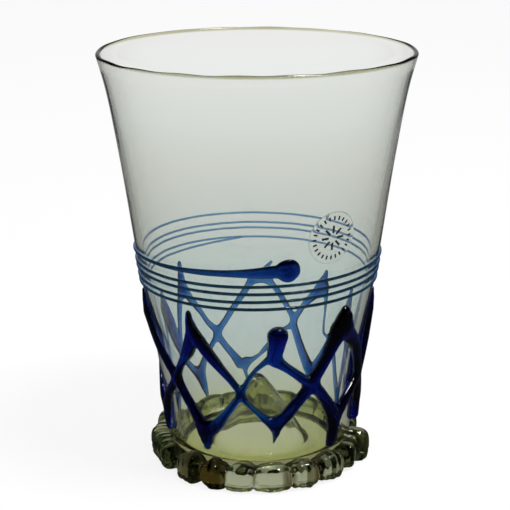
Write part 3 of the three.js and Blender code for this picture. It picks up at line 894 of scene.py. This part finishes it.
FRONT_STRANDS = [
    # The drop left of the middle: its tip with the thick right leg, and the thinner web and left leg
    [(-34.8, 56.6, 1.8, 1.2), (-34.6, 54.2, 2.6, 1.9), (-33.2, 51.4, 3.5, 2.4), (-30.4, 48.6, 3.9, 2.5),
     (-27.2, 45.6, 3.9, 2.4), (-23.5, 42.6, 3.5, 2.2), (-19.5, 39.5, 2.8, 1.8), (-15, 36.3, 2.3, 1.5),
     (-10, 32.2, 2.2, 1.5)],
    [(-34.8, 52.5, 2.2, 1.6), (-34.6, 49.5, 4.2, 2.2), (-36, 46.7, 4.8, 2.2), (-38.6, 43.8, 4.4, 2),
     (-41.8, 41, 3.4, 1.4), (-45.5, 38.2, 2.5, 1.3), (-50.5, 33.5, 3, 1.7)],
    # From the left crossing to the blade under it, and up to the middle crossing
    [(-50.5, 33, 3.4, 1.8), (-45.5, 28.3, 3.4, 1.8), (-40.5, 24.4, 3.4, 1.8), (-36, 21, 3.8, 2.2),
     (-32.2, 17.6, 5, 2.9)],
    [(-31.2, 18.6, 5.6, 2.9), (-31.6, 14.6, 4.4, 2), (-32, 12.2, 2.5, 1.1)],
    [(-31, 18, 4.6, 2.8), (-27, 19, 4.6, 2.1), (-23, 21, 3.8, 1.7), (-19, 24, 2.9, 1.4),
     (-14.5, 27.4, 2.6, 1.4), (-10, 31, 2.3, 1.5)],
    # The thin arm to the middle drop, and the drop with its stem
    [(-9.5, 32, 2.1, 1.5), (-5, 37, 1.5, 0.9), (-1, 40.1, 1.4, 0.9), (4, 42.8, 2.0, 1.1)],
    [(9.3, 51, 6.4, 3), (9, 48, 5.4, 2.1), (8.3, 45.3, 4.9, 1.8), (8.2, 43.4, 4.6, 1.7)],
    [(9.6, 42.3, 3.6, 1.7), (15, 39.9, 2.9, 1.6), (20, 37.6, 2.9, 1.6), (25, 35.2, 3.2, 1.8),
     (29.6, 33.4, 4.8, 2.2)],
    # From the middle crossing to the pointed tip and up to the right crossing
    [(-9.5, 31, 2.3, 1.5), (-5, 27.7, 1.6, 1), (0, 25, 2.0, 1.1), (4, 23, 2.9, 1.5), (9, 21.4, 4.2, 2.3)],
    [(9.6, 21.5, 4.2, 2.3), (9.8, 18.4, 2.6, 1.5), (9.2, 16.4, 1.2, 0.8), (8.6, 15, 0.6, 0.4)],
    [(10, 21.6, 4.2, 2.3), (15, 23.6, 4, 2.1), (20, 27.1, 3.9, 2), (25, 30.3, 3.8, 2), (29.6, 33, 4.6, 2.2)],
    # The large drop on the right, with its two legs
    [(30, 34.5, 4.4, 2.2), (34, 38.3, 4, 2.2), (37.4, 42.2, 4.2, 2.3), (40.2, 46, 5, 2.6),
     (43.2, 50, 7.2, 3)],
    [(45.6, 55.6, 3.6, 1.8), (45.6, 53.2, 6.4, 2.8), (45.6, 50.6, 8.4, 3.2)],
    [(47, 49.5, 7, 2.9), (52, 47, 5.4, 2.4), (57, 44.5, 4.6, 2.2), (62, 41.3, 4.4, 2.1), (67, 37.4, 4.2, 2),
     (71.5, 33.2, 4.2, 2), (75, 29.4, 5, 2)],
    [(30, 33, 4.4, 2.2), (35, 30.4, 3.8, 2.1), (40, 26.7, 4, 2.1), (44.5, 23.4, 4.8, 2.2),
     (48.5, 19.6, 5.8, 2.4), (48.8, 15.6, 4.8, 2.3), (48.2, 12.6, 4.2, 2), (47.6, 10.9, 3.4, 1.6)],
    [(50, 20, 5.4, 2.2), (54.5, 22, 4.6, 2.2), (59.5, 24.4, 4, 2), (67, 27, 3.8, 1.9), (75, 29, 5, 2)],
]
SIDE_STRANDS = [
    # Right side: the drop at the edge, its leg to the right crossing, and the arms round to the back
    [(85.5, 55, 2.2, 0.6), (86, 52.3, 4.6, 1.2), (86, 49, 5.4, 1.7), (85, 45, 5, 1.9), (83, 40, 4.6, 2.1),
     (80, 35, 4.6, 2.1), (75.5, 29.4, 5.2, 2)],
    [(88, 48, 4, 1.5), (92, 42.5, 3.4, 1.6), (96, 36.5, 3, 1.5), (100, 31, 3, 1.6)],
    [(75.5, 29, 5, 2), (80, 25.4, 5, 2.2), (84.5, 21, 5.2, 2.4), (87, 17, 5.2, 2.4), (87.5, 13, 4.4, 2.4)],
    [(88, 17.5, 4, 1.6), (92, 21, 3.2, 1.5), (96, 25.5, 3, 1.5), (100, 31, 3, 1.6)],
    [(100, 31, 3, 1.6), (103, 24, 3, 1.5), (106, 18, 3.2, 1.5), (108.3, 13, 3, 1.2)],
    [(110, 49.5, 2.2, 1.0), (110, 47, 3.8, 1.6), (109.5, 44.5, 4.2, 1.6)],
    [(109, 44, 3.8, 1.5), (106.5, 39.5, 3, 1.4), (103.5, 35, 2.8, 1.4), (100, 31, 3, 1.6)],
    [(110.5, 44, 3.8, 1.5), (114.5, 40, 3, 1.4), (119, 36, 2.6, 1.3), (124.4, 32, 2.6, 1.5)],
    # Left side: the drop at the edge, with its two legs
    [(-79, 56.2, 2.4, 0.6), (-80, 53, 4.4, 1.1), (-79, 49.5, 6, 1.6), (-76, 46.2, 6.4, 1.3),
     (-71, 43.4, 5.4, 1.3), (-65.5, 40.9, 4.6, 1.5), (-60.5, 38.4, 4, 1.6), (-55.5, 35.6, 3.6, 1.7),
     (-50.5, 32.8, 3.4, 1.8)],
    [(-79, 49, 5, 1.5), (-85, 44, 4, 0.4), (-90, 38, 3.2, 0.25), (-94, 31.5, 3.2, 0.3)],
    [(-94, 31, 3, 0.3), (-97, 22.5, 3.2, 1.3), (-100, 16.5, 3.8, 2), (-103, 12, 3.4, 1.8)],
    [(-50.5, 33, 3.4, 1.8), (-56, 29.3, 3.4, 1.8), (-62, 26, 3.6, 1.8), (-67.5, 21.2, 4.4, 1.8),
     (-70, 16.6, 4.4, 1.7), (-71, 12.6, 2.6, 1.2)],
    [(-69, 19.5, 4.4, 1.7), (-76, 22.2, 3.6, 1.5), (-84, 26, 3.4, 0.8), (-94, 31.5, 3.2, 0.2)],
    [(-94, 31.5, 3.2, 0.2), (-98, 36, 2.8, 0.6), (-102, 40.5, 3.2, 1.2), (-104.5, 44.5, 4.2, 1.6),
     (-105, 47.5, 3.6, 1.5), (-105, 49.8, 2, 0.9)],
]
BACK_STRANDS = [
    [(136.7, 51.5, 1.7, 1.2), (137.8, 48.5, 3.6, 1.9), (137.8, 45.5, 4, 1.7)],
    [(136.3, 47, 3.2), (134.4, 43, 1.8), (133.6, 38, 1.1), (133.5, 35, 1.1), (132.6, 32.3, 1.2),
     (130, 31.4, 1), (124.4, 32, 1.6)],
    [(139, 46.5, 5, 1.7), (143, 43.8, 3.4), (146.5, 41.9, 2.7), (151, 38.9, 2), (156.5, 34.2, 2.4)],
    [(157, 34.5, 2.2), (163, 39.5, 2), (168.5, 43.4, 2), (173.4, 46.2, 2)],
    [(173.4, 46.4, 2.2), (177.9, 46.8, 2.6), (183.7, 46.3, 2.4)],
    [(172.4, 52.5, 0.9), (175.7, 50.5, 1.5), (179.2, 48.3, 2)],
    [(184.3, 46.2, 2.4), (188, 43, 2.3), (192.5, 39.9, 2.2), (196.9, 37.1, 2.2), (201.4, 33.9, 2.2),
     (207, 30.8, 2.6)],
    [(208, 31, 2.4), (214, 34.3, 1.8), (219, 38.5, 2.1), (224.5, 42.6, 2.6), (228.6, 46.3, 3.4)],
    [(229.8, 55.4, 2, 1.3), (230.6, 50.4, 3.8, 1.9), (231, 46.8, 5.2, 1.8)],
    [(232.4, 47, 3.6), (235.6, 43.5, 2.9), (238, 39.5, 2.6), (239.8, 35.5, 2.4), (241, 32, 2.2),
     (242, 28, 2.2)],
    [(242, 28, 2.2), (250.5, 18.5, 2.6), (255, 13, 3.2)],
    [(156.5, 32.5, 2.6), (153, 28, 3), (149, 23.8, 3.6), (144.2, 19.8, 4.5), (140.4, 17.5, 4.6)],
    [(140.4, 17.5, 4.6), (137.2, 20, 4), (132.9, 24, 3), (128.6, 28, 2.6), (124.4, 32, 2.6)],
    [(108.3, 13, 3), (113.7, 20, 3), (119, 26, 2.8), (124.4, 32, 2.6, 1.5)],
    [(158.6, 32, 1.6), (164, 30.3, 1.4), (169.3, 27.3, 1.6), (174.7, 24, 1.9), (179.1, 21.6, 1.1),
     (183.5, 20.2, 1.7), (187.5, 19.4, 3)],
    [(189.1, 18, 2.4), (189.1, 16, 1.4), (188, 13.8, 0.8)],
    [(189.6, 19.2, 3), (192.8, 18.9, 3.4), (197.1, 22, 2.5), (201.4, 24.7, 2.3), (205.7, 28, 2.4),
     (207.4, 29.8, 2.6)],
    [(208.4, 29, 2.2), (214.5, 25.5, 1.9), (219.5, 22.6, 2.6), (224, 18.2, 5), (221.5, 14, 3.4),
     (219.3, 10.6, 1.6)],
    [(226, 18.8, 4), (231.5, 20.8, 2.6), (236, 23.4, 2.1), (239.5, 25.8, 2.4), (242, 28, 3.4, 1.6),
     (246.5, 33, 5.6, 2.4), (250.5, 38.5, 6.8, 2.9), (255, 44.5, 6, 2.6)],
]


def strand_fields(strand, angle, z):
    """For one strand, over a grid on the wall: the distance to its edge (less than 0 inside), half
    its width and its stand-off at the nearest point."""
    best = np.full(angle.shape, np.inf)
    half_there = np.ones(angle.shape)
    stand_there = np.ones(angle.shape)
    full = [(*point, point[2] * STAND_OFF_SHARE) if len(point) == 3 else point for point in strand]
    for (a1, z1, w1, h1), (a2, z2, w2, h2) in zip(full, full[1:]):
        scale = math.radians(1) * wall_radius((z1 + z2) / 2)
        x = signed_angle(angle - a1) * scale
        step_x, step_z = (a2 - a1) * scale, z2 - z1
        t = np.clip((x * step_x + (z - z1) * step_z) / (step_x ** 2 + step_z ** 2), 0, 1)
        half = (w1 + (w2 - w1) * t) / 2
        off = np.hypot(x - t * step_x, z - z1 - t * step_z) - half
        nearer = off < best
        best = np.where(nearer, off, best)
        half_there = np.where(nearer, half, half_there)
        stand_there = np.where(nearer, h1 + (h2 - h1) * t, stand_there)
    return best, half_there, stand_there


def lattice_fields(angle, z):
    """All strands joined: the distance to the lattice's edge, with webs where strands meet, and its
    stand-off from the wall."""
    edge = np.full(angle.shape, FAR_OFF)
    weight, half, stand = (np.full(angle.shape, TINY) for _ in range(3))
    for strand in FRONT_STRANDS + SIDE_STRANDS + BACK_STRANDS:
        off, half_there, stand_there = strand_fields(strand, angle, z)
        overlap = np.clip(0.5 + 0.5 * (edge - off) / WEB, 0, 1)
        edge = edge + (off - edge) * overlap - WEB * overlap * (1 - overlap)
        share = np.exp(np.clip(-off / BLEND_DISTANCE, *BLEND_LIMITS))
        weight = weight + share
        half = half + share * half_there
        stand = stand + share * stand_there
    filled = np.clip(-edge * weight / half, 0, 1)
    sideways = np.abs(signed_angle(angle))
    power = np.interp(sideways, PROFILE_ANGLES, PROFILE_POWERS)
    height = np.interp(sideways, PROFILE_ANGLES, PROFILE_HEIGHTS)
    return edge, stand / weight * height * (1 - (1 - filled) ** 2) ** power


def lattice_grid():
    """Angles and heights of a grid on the wall, which of its points belong to the lattice, and which
    are on its edge. Points near the edge move onto it, so that the outline is smooth."""
    angle = np.arange(TRAIL_COLUMNS) * 360 / TRAIL_COLUMNS
    z = np.arange(LATTICE_BOTTOM, LATTICE_TOP, TRAIL_ROW_STEP)
    angle, z = np.meshgrid(angle, z)
    edge, _ = lattice_fields(angle, z)
    column_step = math.radians(360 / TRAIL_COLUMNS) * wall_radius(z)
    wrapped = np.concatenate([edge[:, -1:], edge, edge[:, :1]], axis=1)
    slope_x = (wrapped[:, 2:] - wrapped[:, :-2]) / (2 * column_step)
    slope_z = np.gradient(edge, TRAIL_ROW_STEP, axis=0)
    steep = np.maximum(np.hypot(slope_x, slope_z), LEAST_STEEPNESS)
    change = np.maximum(np.abs(slope_x) * column_step, np.abs(slope_z) * TRAIL_ROW_STEP)
    at_edge = np.abs(edge) <= EDGE_REACH * change
    move = np.where(at_edge, edge / steep ** 2, 0)
    angle = angle - np.degrees(move * slope_x / wall_radius(z))
    z = z - move * slope_z
    return angle, z, (edge < 0) | at_edge, at_edge


def lattice_top(inside, at_edge):
    """Faces for the grid's cells that have at least three points in the lattice, apart from cells
    that only touch its edge."""
    rows, columns = inside.shape
    index = np.arange(rows * columns).reshape(rows, columns)
    after = np.roll(index, -1, axis=1)
    corners = np.stack([index[:-1], after[:-1], after[1:], index[1:]], axis=-1).reshape(-1, 4)
    kept_corners = inside.ravel()[corners]
    edge_corners = at_edge.ravel()[corners]
    faces = []
    for corner, kept, on_edge in zip(corners.tolist(), kept_corners.tolist(), edge_corners.tolist()):
        face = [c for c, k in zip(corner, kept) if k]
        if len(face) >= 3 and not all(on_edge):
            faces.append(face)
    return faces


def make_lattice():
    angle, z, inside, at_edge = lattice_grid()
    _, stand_off = lattice_fields(angle, z)
    stand_off = np.where(at_edge, -LATTICE_EDGE_SINK, stand_off)
    top = lattice_top(inside, at_edge)
    total = angle.size
    edge_points = at_edge.ravel().tolist()

    def beneath(corner):
        return corner if edge_points[corner] else corner + total

    under = [[beneath(corner) for corner in reversed(face)] for face in top]
    # Where the top ends at a point that isn't on the outline, a small side closes the gap
    sides = []
    directed = {pair for face in top for pair in zip(face, face[1:] + face[:1])}
    for start, end in sorted(directed):
        if (end, start) not in directed and not (edge_points[start] and edge_points[end]):
            sides.append(list(dict.fromkeys([end, start, beneath(start), beneath(end)])))
    points = np.concatenate([
        wall_points(angle.ravel(), z.ravel(), stand_off.ravel()),
        wall_points(angle.ravel(), z.ravel(), np.full(total, -LATTICE_SINK)),
    ])
    faces = top + under + sides
    used = np.unique(np.concatenate([np.array(face) for face in faces]))
    renumbered = np.zeros(2 * total, int)
    renumbered[used] = np.arange(len(used))
    faces = [renumbered[face].tolist() for face in faces]
    make_piece(
        "lattice_trails", points[used], faces, TRAIL_GLASS, "trail_glass",
        "zigzag_trail_under", "zigzag_trail_over",
    )


make_lattice()


# Label

def make_label():
    material = glass(
        "label_film", tints=((0.99, 0.99, 0.98), (0.96, 0.965, 0.955)), absorbed=(0.8, 0.8, 0.8),
        density=5.0, roughness=(0.0, 0.02), bump_distance=0.00001, bump_scale=400.0,
    )
    turn = 2 * math.pi * np.arange(LABEL_SEGMENTS) / LABEL_SEGMENTS
    scale = math.degrees(1) / wall_radius(LABEL_HEIGHT)
    even = np.linspace(LABEL_INNER_SHARE, LABEL_EDGE_SHARES[0], LABEL_RINGS - 2)
    share = np.append(even, LABEL_EDGE_SHARES[1:])[:, None]
    reach = LABEL_DIAMETER / 2 * share
    angle = LABEL_ANGLE + reach * np.cos(turn) * scale
    z = LABEL_HEIGHT + reach * np.sin(turn)
    outer = wall_points(angle, z, LABEL_THICKNESS * np.sqrt(1 - share ** LABEL_EDGE_POWER))
    inner = wall_points(angle, z, -LABEL_SINK)
    points = np.concatenate([outer, inner[::-1]]).reshape(-1, 3)
    faces = [tuple(reversed(face)) for face in grid_faces(2 * LABEL_RINGS, LABEL_SEGMENTS)]
    last_row = (2 * LABEL_RINGS - 1) * LABEL_SEGMENTS
    faces.append(tuple(range(LABEL_SEGMENTS)))
    faces.append(tuple(reversed(range(last_row, last_row + LABEL_SEGMENTS))))
    make_piece("label_disc", points, faces, material, "label_film", "label_film")


def bar_outline(length, width):
    xs = np.linspace(-length / 2, length / 2, MARK_COLUMNS)
    return np.concatenate([
        np.stack([xs, np.full(MARK_COLUMNS, -width / 2)], axis=1),
        np.stack([xs[::-1], np.full(MARK_COLUMNS, width / 2)], axis=1),
    ])


def tick(length, width, reach, turn):
    """A short bar on the label, as points and faces, that points away from its middle."""
    outline = bar_outline(length, width)
    cosine, sine = math.cos(turn), math.sin(turn)
    x = (reach + outline[:, 0]) * cosine - outline[:, 1] * sine
    y = (reach + outline[:, 0]) * sine + outline[:, 1] * cosine
    angle = LABEL_ANGLE + np.degrees(x / wall_radius(LABEL_HEIGHT))
    base = LABEL_THICKNESS * MARK_BASE_SHARE
    low = wall_points(angle, LABEL_HEIGHT + y, base)
    high = wall_points(angle, LABEL_HEIGHT + y, base + MARK_THICKNESS)
    count = 2 * MARK_COLUMNS
    faces = [(k, (k + 1) % count, count + (k + 1) % count, count + k) for k in range(count)]
    for k in range(MARK_COLUMNS - 1):
        a, b, c, d = k, k + 1, count - 2 - k, count - 1 - k
        faces.append((d, c, b, a))
        faces.append((count + a, count + b, count + c, count + d))
    return np.concatenate([low, high]), faces


def make_marks():
    ink = bpy.data.materials.new("label_ink")
    tree = empty_tree(ink)
    place, _ = object_place(tree)
    grain = add_node(tree, "ShaderNodeTexNoise", {"Vector": place, "Scale": INK_GRAIN, "Detail": 2.0})
    tone = mix(tree, grain.outputs[0], (*INK_TONES[0], 1), (*INK_TONES[1], 1))
    shader = add_node(tree, "ShaderNodeBsdfPrincipled", {"Base Color": tone, "Roughness": 0.5})
    add_node(tree, "ShaderNodeOutputMaterial", {"Surface": shader.outputs[0]})
    marks = [
        tick(length, width, reach, 2 * math.pi * k / count)
        for count, length, width, reach in TICK_RINGS
        for k in range(count)
    ]
    points, faces = [], []
    for mark_points, mark_faces in marks:
        faces += [tuple(len(points) + k for k in face) for face in mark_faces]
        points += mark_points.tolist()
    make_piece("label_marks", points, faces, ink, "label_film")


make_label()
make_marks()

bpy.context.scene.view_settings.view_transform = "Standard"
